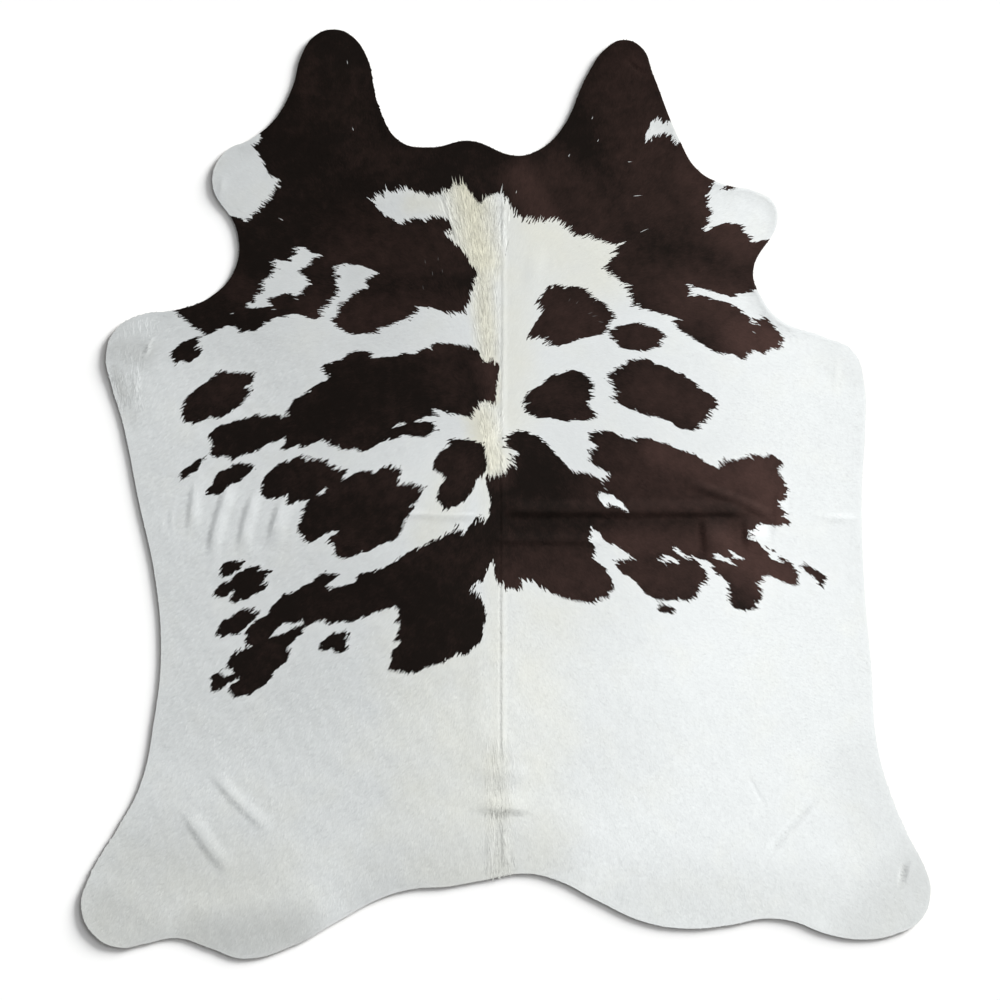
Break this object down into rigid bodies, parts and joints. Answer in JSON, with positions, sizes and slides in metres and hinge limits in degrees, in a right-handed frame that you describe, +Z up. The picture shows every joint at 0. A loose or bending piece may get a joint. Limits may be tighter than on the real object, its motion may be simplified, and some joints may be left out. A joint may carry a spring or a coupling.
{
  "type": "cowhide rug",
  "caption": "Whole hair-on cowhide laid flat as a floor rug, white with dark brown spots, with cheek, foreleg and hind leg flaps and soft packing folds.",
  "frame": {"origin": "on the floor under the middle of the hide's bounding box", "axes": "+Y towards the neck along the spine, +X towards the right flank seen from above, +Z up out of the hair side"},
  "size_m": [2.0383, 2.23, 0.0123],
  "materials": {
    "hair_coat": "short lain cow hair, soft sheen, white and cream with near-black brown spots; plain suede underneath"
  },
  "bodies": {
    "root": {"hide": "hair_coat"}
  },
  "joints": []
}
